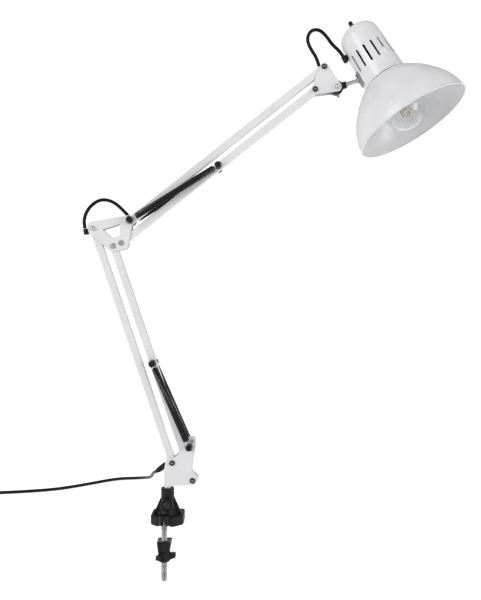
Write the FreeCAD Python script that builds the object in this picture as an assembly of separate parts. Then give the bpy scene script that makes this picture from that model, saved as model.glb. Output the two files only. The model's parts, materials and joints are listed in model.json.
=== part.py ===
import FreeCAD, Part
import math
import os

# Swing arm desk lamp with a screw clamp, two sprung parallelogram arms and a vented bell head.
# Millimetres. +X runs along the desk edge towards the lamp head, +Y away over the desk, +Z up.
# The origin lies on the swivel axis, at the height of the desk top under the clamp's foot.
# The two arms work in the plane Y = 0.

Vec = FreeCAD.Vector

# --- driving dimensions ---------------------------------------------------------------------
ARM_LENGTH = 339.0          # pivot to pivot, every bar
BAR = 10.0                  # square bar, outside
BAR_WALL = 1.1
BAR_EDGE = 1.2              # rounding along the bar's edges
LOWER_LEAN = 18.7           # degrees the lower arm leans back from upright
UPPER_RISE = 38.4           # degrees the upper arm rises above level
BASE_LINK = (27.9, -24.1)   # from pivot 1 to pivot 2, and from pivot A to pivot C
HEAD_LINK = (-12.5, -31.0)  # from pivot K to pivot D, and from pivot U to pivot L
PIVOT_1 = (6.8, 83.85)      # left pivot of the base bracket (x, z)
ELBOW_STEP = (51.5, 11.1)   # from elbow pivot A to elbow pivot K
YOKE_STEP = (17.2, -27.1)   # from head pivot U to the yoke bolt R

PLATE_IN = 5.5              # inner face of a bracket plate, distance from Y = 0
PLATE_OUT = 7.0             # outer face
CORNER = 7.0                # radius of a plate's corner round a pivot
BOLT_R = 2.5
RUNNING_R = 2.55            # hole that turns on a bolt
OPEN_R = 2.8                # hole at a pivot left open, with clearance
SPRING_Y = 12.2             # distance of a spring's axis from Y = 0
SPRING_R = 4.5
SPRING_WIRE = 1.1
HOOK_R = 5.3                # middle of the spring's end ring
RING_R = 0.75
LOWER_SLACK = 3.0           # from a spring's start ring to its coil
UPPER_SLACK = 4.0
LOWER_REACH = 17.5          # shank of the start ring, which stays in the coil at full stretch
UPPER_REACH = 33.0
SLEEVE_R = 4.0              # black sleeve on each spring pin
SLEEVE_END = 19.0
LEAD_R = 2.35               # lead held by the lamp
CORD_R = 2.5                # mains cord

SPINDLE_R = 4.5
SOCKET_R = 9.1
SOCKET_TOP = 48.7
ROD_X = -2.8                # clamp screw, off the swivel axis
ROD_Y = -17.0
ROD_R = 4.0
JAW_TOP = -18.0             # gap for the desk board

RIM_R = 78.5                # shade opening
SHADE_WALL = 1.2
CAP_BASE = 74.0             # heights along the head's own axis, from the rim
CAP_TOP = 163.0
RIM_CENTRE = Vec(334.7, -15.0, 547.4)
HEAD_DOWN = 61.9            # degrees the head's axis dips below level
HEAD_TURN = 11.1            # degrees the opening is turned towards -Y
STEM_R = 3.0
BULB_R = 30.0
BULB_CENTRE = 24.5          # height of the globe's middle inside the shade


def ahead(start, angle, length):
    """Point at a distance from start in the arm plane, angle from +X in degrees."""
    turn = math.radians(angle)
    return (start[0] + length * math.cos(turn), start[1] + length * math.sin(turn))


def step(start, move):
    return (start[0] + move[0], start[1] + move[1])


def middle(one, two):
    return ((one[0] + two[0]) / 2, (one[1] + two[1]) / 2)


PIVOT_2 = step(PIVOT_1, BASE_LINK)
PIVOT_A = ahead(PIVOT_1, 90 + LOWER_LEAN, ARM_LENGTH)
PIVOT_C = step(PIVOT_A, BASE_LINK)
PIVOT_K = step(PIVOT_A, ELBOW_STEP)
PIVOT_D = step(PIVOT_K, HEAD_LINK)
PIVOT_U = ahead(PIVOT_K, UPPER_RISE, ARM_LENGTH)
PIVOT_L = step(PIVOT_U, HEAD_LINK)
PIVOT_R = step(PIVOT_U, YOKE_STEP)
SPRING_BASE = (30.4, 106.5)
SPRING_LOW = middle(PIVOT_2, PIVOT_C)
SPRING_HIGH = middle(PIVOT_D, PIVOT_L)

# the head's own frame: origin at the rim's centre, z up the axis to the cap, x towards the stem
HEAD_Z = Vec(
    -math.cos(math.radians(HEAD_DOWN)) * math.cos(math.radians(HEAD_TURN)),
    math.sin(math.radians(HEAD_TURN)),
    math.sin(math.radians(HEAD_DOWN)) * math.cos(math.radians(HEAD_TURN)),
)
HEAD_X = Vec(-math.sin(math.radians(HEAD_DOWN)), 0, -math.cos(math.radians(HEAD_DOWN)))
HEAD_Y = HEAD_Z.cross(HEAD_X)
HEAD_MATRIX = FreeCAD.Matrix(
    HEAD_X.x, HEAD_Y.x, HEAD_Z.x, RIM_CENTRE.x,
    HEAD_X.y, HEAD_Y.y, HEAD_Z.y, RIM_CENTRE.y,
    HEAD_X.z, HEAD_Y.z, HEAD_Z.z, RIM_CENTRE.z,
    0, 0, 0, 1,
)
STEM_HEIGHT = 91.0          # where the stem meets the cap, along the head's axis
STEM_REACH = 32.2           # and its distance from that axis
YOKE_POINT = Vec(PIVOT_R[0], 0, PIVOT_R[1])
STEM_END = HEAD_MATRIX.multVec(Vec(STEM_REACH, 0, STEM_HEIGHT))
STEM_DIR = (STEM_END - YOKE_POINT).normalize()


# --- helpers --------------------------------------------------------------------------------
def at(point, y=0.0):
    return Vec(point[0], y, point[1])


def rod(start, end, radius):
    """Round bar from one point to another."""
    along = end - start
    return Part.makeCylinder(radius, along.Length, start, along)


def across(point, radius, y_from, y_to):
    """Round bar along Y through a point of the arm plane."""
    return rod(at(point, y_from), at(point, y_to), radius)


def ring_across(point, outer, inner, y_from, y_to):
    hole = across(point, inner, y_from - 1, y_to + 1)
    return across(point, outer, y_from, y_to).cut(hole)


def hexagon_across(point, flats, y_from, y_to):
    reach = flats / math.sqrt(3)
    corners = [at(ahead(point, 60 * k, reach), y_from) for k in range(6)]
    face = Part.Face(Part.makePolygon(corners + corners[:1]))
    return face.extrude(Vec(0, y_to - y_from, 0))


def rounded_face(corners, place):
    """Face of a polygon whose corners (a, b, radius) are rounded; place turns (a, b) into a point."""
    count = len(corners)
    starts = []
    ends = []
    mids = []
    for index in range(count):
        before = Vec(*corners[index - 1][:2], 0)
        here = Vec(*corners[index][:2], 0)
        after = Vec(*corners[(index + 1) % count][:2], 0)
        radius = corners[index][2]
        back = (before - here).normalize()
        on = (after - here).normalize()
        half = back.getAngle(on) / 2
        trim = radius / math.tan(half)
        inward = (back + on).normalize()
        starts.append(here + back * trim)
        ends.append(here + on * trim)
        mids.append(here + inward * (radius / math.sin(half) - radius))
    edges = []
    for index in range(count):
        start, mid, end = [place(p) for p in (starts[index], mids[index], ends[index])]
        if corners[index][2] > 0:
            edges.append(Part.Arc(start, mid, end).toShape())
        following = place(starts[(index + 1) % count])
        if (following - end).Length > 1e-6:
            edges.append(Part.LineSegment(end, following).toShape())
    return Part.Face(Part.Wire(edges))


def plate(corners, y_from, y_to):
    """Flat plate in the arm plane, between two depths."""
    face = rounded_face(corners, lambda p: Vec(p.x, y_from, p.y))
    return face.extrude(Vec(0, y_to - y_from, 0))


def slab(corners, z_from, z_to):
    """Flat block lying level, between two heights."""
    face = rounded_face(corners, lambda p: Vec(p.x, p.y, z_from))
    return face.extrude(Vec(0, 0, z_to - z_from))


def turned(profile):
    """Solid turned about Z from points (radius, height)."""
    points = [Vec(r, 0, z) for r, z in profile]
    face = Part.Face(Part.makePolygon(points + points[:1]))
    return face.revolve(Vec(0, 0, 0), Vec(0, 0, 1), 360)


def turned_edges(edges):
    """Solid turned about Z from a closed run of edges."""
    face = Part.Face(Part.Wire(edges))
    return face.revolve(Vec(0, 0, 0), Vec(0, 0, 1), 360)


def flat_line(start, end):
    return Part.LineSegment(Vec(start[0], 0, start[1]), Vec(end[0], 0, end[1])).toShape()


def flat_arc(start, mid, end):
    return Part.Arc(*[Vec(p[0], 0, p[1]) for p in (start, mid, end)]).toShape()


def soft_path(points):
    """Straight runs joined by tangent arcs, each as large as its two runs allow."""
    edges = []
    radii = []
    last = points[0]
    for index in range(1, len(points) - 1):
        here = points[index]
        back = points[index - 1] - here
        on = points[index + 1] - here
        trim = 0.45 * min(back.Length, on.Length)
        back.normalize()
        on.normalize()
        half = back.getAngle(on) / 2
        radius = trim * math.tan(half)
        inward = (back + on).normalize()
        start = here + back * trim
        end = here + on * trim
        mid = here + inward * (radius / math.sin(half) - radius)
        edges.append(Part.LineSegment(last, start).toShape())
        edges.append(Part.Arc(start, mid, end).toShape())
        radii.append(radius)
        last = end
    edges.append(Part.LineSegment(last, points[-1]).toShape())
    return Part.Wire(edges), radii


def soft_tube(name, points, radius):
    """Lead or cord along a route, with its length and its bends printed."""
    wire, radii = soft_path(points)
    start_edge = wire.Edges[0]
    circle = Part.Circle(points[0], start_edge.tangentAt(start_edge.FirstParameter), radius)
    tube = wire.makePipeShell([Part.Wire(circle.toShape())], True, True)
    ratio = tube.Volume / (math.pi * radius**2 * wire.Length)
    bends = ", ".join(f"{r:.0f}" for r in radii)
    print(f"{name}: length {wire.Length:.0f} mm, volume ratio {ratio:.3f}, bend radii {bends}")
    return tube


def in_head(shape):
    """Places a shape made in the head's own frame."""
    placed = shape.copy()
    placed.Placement = FreeCAD.Placement(HEAD_MATRIX)
    return placed


def group(shapes):
    return Part.makeCompound(shapes)


# --- clamp ----------------------------------------------------------------------------------
FOOT_HALF = 22.5
FOOT_BACK = 22.0
FOOT_FRONT = -19.0
FOOT_HEIGHT = 13.0
PAD_THICK = 1.5
BUSH_R = 5.6
SCREW_HEIGHT = 28.0


def foot_outline(shrink=0.0):
    half = FOOT_HALF - shrink
    side = -9.0 + shrink
    front = FOOT_FRONT + shrink
    back = FOOT_BACK - shrink
    return [
        (half, side, 6 - shrink),
        (half, back, 5 - shrink),
        (-half, back, 5 - shrink),
        (-half, side, 6 - shrink),
        (-half / 2.2, front, 14 - shrink),
        (half / 2.2, front, 14 - shrink),
    ]


def clamp_body():
    foot = slab(foot_outline(), PAD_THICK, FOOT_HEIGHT)
    foot = foot.makeFillet(2.0, [e for e in foot.Edges if e.BoundBox.ZMin > FOOT_HEIGHT - 0.01])
    barrel = turned(
        [(0, 8), (SOCKET_R, 8), (SOCKET_R, SOCKET_TOP - 1), (SOCKET_R - 1, SOCKET_TOP), (0, SOCKET_TOP)]
    )
    skirt = turned([(0, FOOT_HEIGHT - 1), (15, FOOT_HEIGHT - 1), (11, 21), (SOCKET_R, 32), (0, 32)])
    body = foot.fuse([barrel, skirt])
    for turn in (0, 90, 180):
        rib = plate([(0, 10, 0), (20.5, 10, 0), (18.5, 15, 2), (8.5, 37, 0), (0, 37, 0)], -1.7, 1.7)
        rib.rotate(Vec(0, 0, 0), Vec(0, 0, 1), turn)
        body = body.fuse(rib)
    boss = rod(Vec(0, -4, SCREW_HEIGHT), Vec(0, -14, SCREW_HEIGHT), 8.6)
    boss = boss.makeFillet(1.2, [e for e in boss.Edges if e.BoundBox.YMax < -13.9])
    holder = rod(Vec(ROD_X, ROD_Y, 3), Vec(ROD_X, ROD_Y, 16), 7.4)
    body = body.fuse([boss, holder]).removeSplitter()
    bore = rod(Vec(0, 0, 6), Vec(0, 0, SOCKET_TOP + 1), BUSH_R)
    screw_hole = rod(Vec(0, 0, SCREW_HEIGHT), Vec(0, -15, SCREW_HEIGHT), 3.0)
    screw_seat = rod(Vec(0, -12.4, SCREW_HEIGHT), Vec(0, -15, SCREW_HEIGHT), 5.2)
    rod_hole = rod(Vec(ROD_X, ROD_Y, 0), Vec(ROD_X, ROD_Y, 12.5), ROD_R)
    front_slot = Part.makeBox(5.6, 8, 9.5, Vec(ROD_X - 2.8, ROD_Y - 9, 0))
    return body.cut([bore, screw_hole, screw_seat, rod_hole, front_slot])


def clamp_pad():
    pad = slab(foot_outline(0.8), 0, PAD_THICK)
    groove = rod(Vec(ROD_X, ROD_Y, -1), Vec(ROD_X, ROD_Y, 3), 8.2)
    return pad.cut(groove)


def clamp_rod():
    """Screw of the clamp at its thread's outer size, chamfered at the free end."""
    body = rod(Vec(ROD_X, ROD_Y, -72.5), Vec(ROD_X, ROD_Y, 12.5), ROD_R)
    return body.makeChamfer(1.0, [e for e in body.Edges if e.BoundBox.ZMax < -72])


def socket_set_screw():
    head = rod(Vec(0, -12.4, SCREW_HEIGHT), Vec(0, -14.0, SCREW_HEIGHT), 4.8)
    slot = Part.makeBox(12, 1.2, 1.2, Vec(-6, -14.5, SCREW_HEIGHT - 0.6))
    shank = rod(Vec(0, -5.8, SCREW_HEIGHT), Vec(0, -12.4, SCREW_HEIGHT), 3.0)
    return head.cut(slot).fuse(shank)


def socket_bush():
    """Nylon liner that the spindle turns in."""
    return turned([(SPINDLE_R + 0.05, 6), (BUSH_R, 6), (BUSH_R, 47.5), (SPINDLE_R + 0.05, 47.5)])


def lower_jaw():
    """Jaw that the nut pushes up under the board, seen from the side as a wedge."""
    wedge = [(-26, JAW_TOP, 2), (12, JAW_TOP, 2), (12, JAW_TOP - 5, 2), (-8, -33, 4), (-26, -33, 3)]
    face = rounded_face(wedge, lambda p: Vec(-10, p.x, p.y))
    block = face.extrude(Vec(20, 0, 0))
    block.translate(Vec(ROD_X, 0, 0))
    for side in (-1, 1):
        keep = Part.makeBox(30, 60, 30, Vec(0, -35, -34 - 6))
        keep.rotate(Vec(0, 0, -18), Vec(0, 1, 0), side * 7)
        keep.translate(Vec(ROD_X + (9.2 if side > 0 else -39.2), 0, 0))
        block = block.cut(keep)
    hole = rod(Vec(ROD_X, ROD_Y, -40), Vec(ROD_X, ROD_Y, -10), ROD_R + 0.35)
    return block.cut(hole)


def jaw_pad():
    corners = [(ROD_X - 7, -9, 2), (ROD_X + 7, -9, 2), (ROD_X + 7, 10, 2), (ROD_X - 7, 10, 2)]
    return slab(corners, JAW_TOP, JAW_TOP + 1.2)


NUT_TOP = -33.2
NUT_LOW = -46.0


def clamp_wing_nut():
    """Three-winged nut under the jaw, moulded round a threaded steel insert."""
    hub = turned([(0, NUT_TOP), (8.2, NUT_TOP), (8.6, NUT_LOW + 2), (7, NUT_LOW), (0, NUT_LOW)])
    for turn in (0, 120, 240):
        corners = [(5, -34.8, 0), (15.6, -34.8, 1.5), (15.6, -41, 2.5), (8, -43.5, 2), (5, -43.5, 0)]
        wing = plate(corners, -2.6, 2.6)
        wing.rotate(Vec(0, 0, 0), Vec(0, 0, 1), turn)
        hub = hub.fuse(wing)
    hub = hub.removeSplitter()
    hub = hub.cut(rod(Vec(0, 0, NUT_LOW - 1), Vec(0, 0, NUT_TOP + 1), 6.0))
    insert = turned([(ROD_R + 0.06, NUT_TOP), (6.0, NUT_TOP), (6.0, NUT_LOW), (ROD_R + 0.06, NUT_LOW)])
    for shape in (hub, insert):
        shape.translate(Vec(ROD_X, ROD_Y, 0))
    return group([hub, insert])


# --- brackets -------------------------------------------------------------------------------
CORNER_SCREW = (34.2, 113.6)


def base_plate(y_from, y_to):
    outline = [
        (-4.3, 49.8, 1.5),
        (8.0, 52.4, 2.5),
        (PIVOT_2[0] + 3, PIVOT_2[1] - CORNER + 0.8, 5.5),
        (PIVOT_2[0] + 9.2, PIVOT_2[1] + 3.5, 4.5),
        (33.6, 72.5, 5),
        (35.4, 84.0, 8),
        (38.6, 106.0, 8),
        (39.0, 118.4, 4.4),
        (29.4, 118.2, 4.2),
        (24.0, 107.5, 5),
        (17.0, 98.0, 8),
        (9.5, 91.0, 3),
        (PIVOT_1[0] - 8.6, PIVOT_1[1] + 7.4, 6.4),
        (-4.3, 73.0, 6),
    ]
    body = plate(outline, y_from, y_to)
    holes = [across(p, RUNNING_R, y_from - 1, y_to + 1) for p in (PIVOT_1, PIVOT_2, SPRING_BASE)]
    return body.cut(holes + [across(CORNER_SCREW, 1.55, y_from - 1, y_to + 1)])


def base_spindle():
    """Block riveted between the plates, with the pin that turns in the clamp's socket."""
    block = plate([(-4.3, 50.4, 1), (9, 53, 2), (24, 55, 2), (24, 66, 3), (-4.3, 66, 1)], -PLATE_IN, PLATE_IN)
    pin = rod(Vec(0, 0, 7.5), Vec(0, 0, 52), SPINDLE_R)
    return block.cut(across(PIVOT_1, 9.5, -6, 6)).fuse(pin).removeSplitter()


def rivet(point, radius=1.6, head=2.6):
    shank = across(point, radius, -PLATE_OUT - 0.9, PLATE_OUT + 0.9)
    front = across(point, head, -PLATE_OUT - 0.9, -PLATE_OUT)
    back = across(point, head, PLATE_OUT, PLATE_OUT + 0.9)
    return shank.fuse([front, back])


def pivot_bolt(point):
    """Socket-headed bolt across both plates, its head to the front."""
    shank = across(point, BOLT_R, -PLATE_OUT, PLATE_OUT + 4.6)
    head = across(point, 3.7, -PLATE_OUT - 2.4, -PLATE_OUT)
    head = head.makeFillet(0.6, [e for e in head.Edges if e.BoundBox.YMax < -PLATE_OUT - 2.3])
    key = hexagon_across(point, 2.8, -PLATE_OUT - 3, -PLATE_OUT - 1.0)
    return head.fuse(shank).cut(key)


def pivot_nut(point):
    body = hexagon_across(point, 8.0, PLATE_OUT, PLATE_OUT + 3.4)
    return body.cut(across(point, BOLT_R, PLATE_OUT - 1, PLATE_OUT + 5))


def bolts_and_nuts(points):
    return group([make(p) for p in points for make in (pivot_bolt, pivot_nut)])


def base_bolts(points):
    """Base pivots' bolts and nuts, with a short screw in each plate's top corner."""
    solids = [make(p) for p in points for make in (pivot_bolt, pivot_nut)]
    front = across(CORNER_SCREW, 2.6, -PLATE_OUT - 0.5, -PLATE_OUT)
    back = across(CORNER_SCREW, 2.6, PLATE_OUT, PLATE_OUT + 0.5)
    solids.append(front.fuse(across(CORNER_SCREW, 1.5, -PLATE_OUT, -PLATE_IN)))
    solids.append(back.fuse(across(CORNER_SCREW, 1.5, PLATE_IN, PLATE_OUT)))
    return group(solids)


def acorn_bolt(point):
    """Bolt across both plates with a domed nut to the front."""
    dome = Part.makeSphere(3.4, at(point, -PLATE_OUT - 2.2))
    front_half = Part.makeBox(10, 10, 10, at(point, 0) - Vec(5, PLATE_OUT + 2.2 + 10, 5))
    collar = across(point, 3.4, -PLATE_OUT - 2.2, -PLATE_OUT)
    shank = across(point, BOLT_R, -PLATE_OUT, PLATE_OUT + 4.6)
    return dome.common(front_half).fuse([collar, shank])


def washers(points):
    """Nylon washers on both sides of each bar."""
    rings = []
    for point in points:
        for side in (-1, 1):
            near, far = sorted((side * (BAR / 2 + 0.06), side * (PLATE_IN - 0.06)))
            rings.append(ring_across(point, 4.7, BOLT_R + 0.1, near, far))
    return group(rings)


def spring_pin(point, start=PLATE_OUT):
    """Pin that carries the spring ends, headed at both ends, with a sleeve on each side."""
    shank = across(point, BOLT_R, -SLEEVE_END, SLEEVE_END)
    heads = [
        across(point, 3.2, SLEEVE_END, SLEEVE_END + 1.2),
        across(point, 3.2, -SLEEVE_END - 1.2, -SLEEVE_END),
    ]
    sleeves = []
    for side in (-1, 1):
        near, far = sorted((side * start, side * SLEEVE_END))
        sleeves.append(ring_across(point, SLEEVE_R, BOLT_R + 0.05, near, far))
    return group([shank.fuse(heads)] + sleeves)


def spring_studs(point):
    """Headed stud riveted in each plate, with a sleeve: the bars pass freely between the two."""
    parts = []
    for side in (-1, 1):
        shank = across(point, BOLT_R, *sorted((side * PLATE_IN, side * SLEEVE_END)))
        head = across(point, 3.2, *sorted((side * SLEEVE_END, side * (SLEEVE_END + 1.2))))
        sleeve = ring_across(point, SLEEVE_R, BOLT_R + 0.05, *sorted((side * PLATE_OUT, side * SLEEVE_END)))
        parts += [shank.fuse(head), sleeve]
    return group(parts)


def spring_line(start, end, side):
    """Pin points of one spring and the direction from the first to the second."""
    first = at(start, side * SPRING_Y)
    last = at(end, side * SPRING_Y)
    return first, last, (last - first).normalize()


def spring_pair(start, end, slack):
    """Front and back spring, drawn as thin tubes open towards the start, ringed at the end."""
    shapes = []
    for side in (-1, 1):
        first, last, along = spring_line(start, end, side)
        body_start = first + along * (HOOK_R + slack)
        body_end = last - along * (HOOK_R + 0.6)
        hollow = rod(body_start - along, body_end - along * 1.2, SPRING_R - SPRING_WIRE)
        tube = rod(body_start, body_end, SPRING_R).cut(hollow)
        shapes.append(tube.fuse(Part.makeTorus(HOOK_R, RING_R, last, Vec(0, 1, 0))))
    return group(shapes)


def spring_hooks(start, end, reach):
    """Ring on the start pin of each spring, with a shank that slides in the coil as it stretches."""
    shapes = []
    for side in (-1, 1):
        first, _, along = spring_line(start, end, side)
        shank = rod(first + along * HOOK_R, first + along * (HOOK_R + reach), SPRING_WIRE / 2)
        shapes.append(shank.fuse(Part.makeTorus(HOOK_R, RING_R, first, Vec(0, 1, 0))))
    return group(shapes)


def elbow_plate(y_from, y_to):
    outline = [
        (PIVOT_A[0] - 8.8, PIVOT_A[1] + 8.2, 6.5),
        (PIVOT_K[0] + 5.2, PIVOT_K[1] + 8.6, 6.5),
        (PIVOT_D[0] + 8.6, PIVOT_D[1] - 7.4, 6.5),
        (PIVOT_C[0] - 3.0, PIVOT_C[1] - 8.0, 4.5),
        (PIVOT_A[0] - 5.8, PIVOT_A[1] - 5.6, 5.0),
    ]
    window = [(-88.5, 403.4, 0.6), (-64.4, 411.6, 1.5), (-65.2, 394.8, 2.5), (-76.6, 392.6, 2.5)]
    body = plate(outline, y_from, y_to).cut(plate(window, y_from - 1, y_to + 1))
    holes = [across(p, RUNNING_R, y_from - 1, y_to + 1) for p in (PIVOT_A, PIVOT_C, PIVOT_D, PIVOT_K)]
    return body.cut(holes)


def elbow_rivets():
    return group([rivet(p, BOLT_R, 3.8) for p in (PIVOT_C, PIVOT_D)])


def head_plate(y_from, y_to):
    outline = [
        (PIVOT_U[0] - 1.2, PIVOT_U[1] + 12.5, 6.4),
        (PIVOT_R[0] + 11.4, PIVOT_R[1] - 5.6, 6.4),
        (PIVOT_L[0] - 9.0, PIVOT_L[1] - 7.2, 6.4),
    ]
    body = plate(outline, y_from, y_to)
    holes = [across(p, RUNNING_R, y_from - 1, y_to + 1) for p in (PIVOT_U, PIVOT_L, PIVOT_R)]
    return body.cut(holes)


# --- bars -----------------------------------------------------------------------------------
def arm_bar(start, end, holes):
    """Square tube with rounded ends, drilled across at each (point, radius)."""
    along = at(end) - at(start)
    angle = math.degrees(math.atan2(along.z, along.x))

    def lozenge(half, depth):
        box = Part.makeBox(along.Length, 2 * depth, 2 * half, Vec(0, -depth, -half))
        caps = [rod(Vec(x, -depth, 0), Vec(x, depth, 0), half) for x in (0, along.Length)]
        return box.fuse(caps).removeSplitter()

    outer = lozenge(BAR / 2, BAR / 2)
    level = [e for e in outer.Edges if e.BoundBox.YLength < 0.01]
    rims = [e for e in level if abs(abs(e.BoundBox.YMin) - BAR / 2) < 0.01]
    outer = outer.makeFillet(BAR_EDGE, rims)
    inner = lozenge(BAR / 2 - BAR_WALL, BAR / 2 - BAR_WALL)
    tube = outer.cut(inner)
    tube.rotate(Vec(0, 0, 0), Vec(0, 1, 0), -angle)
    tube.translate(at(start))
    return tube.cut([across(p, r, -BAR, BAR) for p, r in holes])


def bar_lead(start, end, margin=16.0):
    """Lead inside a bar, between its pivots."""
    along = (at(end) - at(start)).normalize()
    return rod(at(start) + along * margin, at(end) - along * margin, LEAD_R)


def lower_left_bar():
    bar = arm_bar(PIVOT_1, PIVOT_A, [(PIVOT_1, RUNNING_R), (PIVOT_A, RUNNING_R)])
    hole = rod(GLAND_POINT - BAR_LEFT * 2, GLAND_POINT + BAR_LEFT, 1.8)
    return bar.cut(hole)


BAR_DOWN = Vec(math.sin(math.radians(LOWER_LEAN)), 0, -math.cos(math.radians(LOWER_LEAN)))
BAR_LEFT = Vec(-math.cos(math.radians(LOWER_LEAN)), 0, -math.sin(math.radians(LOWER_LEAN)))
GLAND_POINT = at(PIVOT_A) + BAR_DOWN * 1.5 + BAR_LEFT * (BAR / 2)
GLAND_UP = Vec(-0.2, 0, 0.98).normalize()
GLAND_LOW = GLAND_POINT + BAR_LEFT * 6.4 - GLAND_UP * 2.6
GLAND_TOP = GLAND_LOW + GLAND_UP * 8.0


def elbow_gland():
    """Black elbow grommet in the wall of the left bar: the lead leaves it upwards."""
    flange = rod(GLAND_POINT + BAR_LEFT * 0.1, GLAND_POINT + BAR_LEFT * 1.6, 4.4)
    neck = rod(GLAND_POINT + BAR_LEFT * 0.1, GLAND_POINT + BAR_LEFT * 6.6, 2.8)
    body = rod(GLAND_LOW, GLAND_TOP, 3.6)
    body = body.makeFillet(1.2, [e for e in body.Edges if e.Length > 15])
    return body.fuse([flange, neck]).removeSplitter()


# --- leads between the housings ---------------------------------------------------------------
def elbow_lead():
    route = [
        GLAND_TOP + GLAND_UP * 0.2,
        Vec(-115.9, 0, 414.0),
        Vec(-113.4, 0, 426.5),
        Vec(-105.0, 0, 438.7),
        Vec(-91.5, 0, 446.3),
        Vec(-76.5, 0, 443.5),
        Vec(-63.0, 0, 433.0),
        Vec(-53.0, 0, 421.4),
    ]
    return soft_tube("elbow_lead", route, LEAD_R)


HEAD_GLAND_HEIGHT = 129.0
HEAD_GLAND_TOP = 133.4
HEAD_GLAND_REACH = 33.4


def head_lead():
    end = HEAD_MATRIX.multVec(Vec(HEAD_GLAND_REACH, 0, HEAD_GLAND_TOP))
    route = [
        Vec(208.9, 0, 629.9),
        Vec(205.5, 0, 641.5),
        Vec(197.0, 0.5, 654.0),
        Vec(192.0, 1.5, 667.5),
        Vec(197.5, 3, 680.5),
        Vec(209.5, 5, 682.5),
        Vec(219.5, 7.5, 675.0),
        Vec(228.5, 10.5, 663.5),
        end + HEAD_Z * 9.0,
        end,
    ]
    return soft_tube("head_lead", route, LEAD_R)


# --- mains cord -------------------------------------------------------------------------------
RELIEF_START = Vec(-3.6, 2.4, 79.0)
CORD_ROUTE = [
    Vec(-15.5, 14.0, 68.0),
    Vec(-21.0, 28.0, 62.5),
    Vec(-27.0, 54.0, 54.5),
    Vec(-35.5, 98.0, 37.5),
    Vec(-44.5, 142.0, 24.0),
    Vec(-56.0, 182.0, 12.5),
    Vec(-76.0, 208.0, 4.5),
    Vec(-110.0, 212.0, 2.6),
    Vec(-148.0, 182.0, 2.6),
    Vec(-190.0, 152.0, 2.6),
    Vec(-230.0, 139.5, 2.6),
    Vec(-283.0, 129.5, 2.6),
    Vec(-336.0, 128.0, 2.6),
]
LEAD_SPLIT = 2              # the cord up to this point turns with the base bracket
COIL_CENTRE = Vec(-340.0, 165.0, 0.0)
COIL_MID_R = 29.5
COIL_HALF_WIDTH = 10.2
COIL_HEIGHT = 15.2


def cord_relief():
    """Tapered strain relief with a flange held between the base plates."""
    tip = CORD_ROUTE[0]
    along = (tip - RELIEF_START).normalize()
    length = (tip - RELIEF_START).Length
    taper = Part.makeCone(3.9, CORD_R + 0.45, length - 3, RELIEF_START + along * 3, along)
    flange = Part.makeBox(6.0, 2 * PLATE_IN - 0.4, 8.0, Vec(-4.0, -PLATE_IN + 0.2, 74.5))
    flange = flange.cut(across(PIVOT_1, 7.6, -8, 8))
    neck = rod(RELIEF_START, RELIEF_START + along * 3.2, 3.9)
    body = flange.fuse([neck, taper]).removeSplitter()
    plates_zone = [Part.makeBox(40, 1.6, 60, Vec(-4.4, y, 50)) for y in (PLATE_IN, -PLATE_IN - 1.6)]
    return body.cut(plates_zone)


def cut_points(route, index):
    """Splits a route at the middle of the run before a point, for two tubes that meet flat."""
    joint = (route[index - 1] + route[index]) * 0.5
    return route[:index] + [joint], [joint] + route[index:]


def mains_cord_lead():
    first, _ = cut_points(CORD_ROUTE, LEAD_SPLIT)
    return soft_tube("mains_cord_lead", first, CORD_R)


def mains_cord():
    _, rest = cut_points(CORD_ROUTE, LEAD_SPLIT)
    return soft_tube("mains_cord", rest, CORD_R)


def mains_coil():
    outer = COIL_MID_R + COIL_HALF_WIDTH
    inner = COIL_MID_R - COIL_HALF_WIDTH
    ring = turned([(inner, 0.1), (outer, 0.1), (outer, COIL_HEIGHT), (inner, COIL_HEIGHT)])
    ring = ring.makeFillet(2.0, [e for e in ring.Edges if e.Length > 1 and e.BoundBox.ZLength < 0.01])
    ring.translate(COIL_CENTRE)
    return ring


PLUG_PLACE = FreeCAD.Placement(
    COIL_CENTRE + Vec(-18.0, -25.0, COIL_HEIGHT + 0.3), FreeCAD.Rotation(Vec(0, 0, 1), 180)
)


def mains_plug():
    """Flat plug with its two moulded-in pins, lying on the coil; drawn along X and then placed."""
    half = 7.0
    outline = [(-14, -6.5, 3), (6, -half, 2), (18, -half, 3), (18, half, 3), (6, half, 2), (-14, 6.5, 3)]
    body = slab(outline, 0, 13.5)
    body = body.makeFillet(1.5, [e for e in body.Edges if e.BoundBox.ZLength < 0.01])
    relief = Part.makeCone(CORD_R + 0.6, 4.2, 17, Vec(-30, 0, 6.0), Vec(1, 0, 0))
    parts = [body.fuse(relief).removeSplitter()]
    for side in (-1, 1):
        insulated = rod(Vec(18, side * 4.6, 6.75), Vec(27.5, side * 4.6, 6.75), 1.9)
        tip = rod(Vec(27.5, side * 4.6, 6.75), Vec(37, side * 4.6, 6.75), 2.0)
        parts.append(insulated.fuse(tip))
    for shape in parts:
        shape.Placement = PLUG_PLACE
    return group(parts)


# --- yoke and head ------------------------------------------------------------------------------
YOKE_R = 9.5
YOKE_REACH = 13.6


def yoke_knuckle():
    """Black friction knuckle on the bolt between the head plates, bored for the stem."""
    drum = across(PIVOT_R, YOKE_R, -PLATE_IN + 0.15, PLATE_IN - 0.15)
    drum = drum.makeFillet(0.8, drum.Edges[0:1] + drum.Edges[2:3])
    grooves = []
    for turn in range(0, 360, 20):
        grooves.append(across(ahead(PIVOT_R, turn, YOKE_R + 0.7), 1.2, -6, 6))
    drum = drum.cut(grooves)
    neck = rod(YOKE_POINT, YOKE_POINT + STEM_DIR * YOKE_REACH, 4.9)
    bore = rod(YOKE_POINT + STEM_DIR * 5, YOKE_POINT + STEM_DIR * (YOKE_REACH + 1), STEM_R + 0.05)
    bolt_hole = across(PIVOT_R, RUNNING_R, -8, 8)
    return drum.fuse(neck).cut([bore, bolt_hole])


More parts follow.
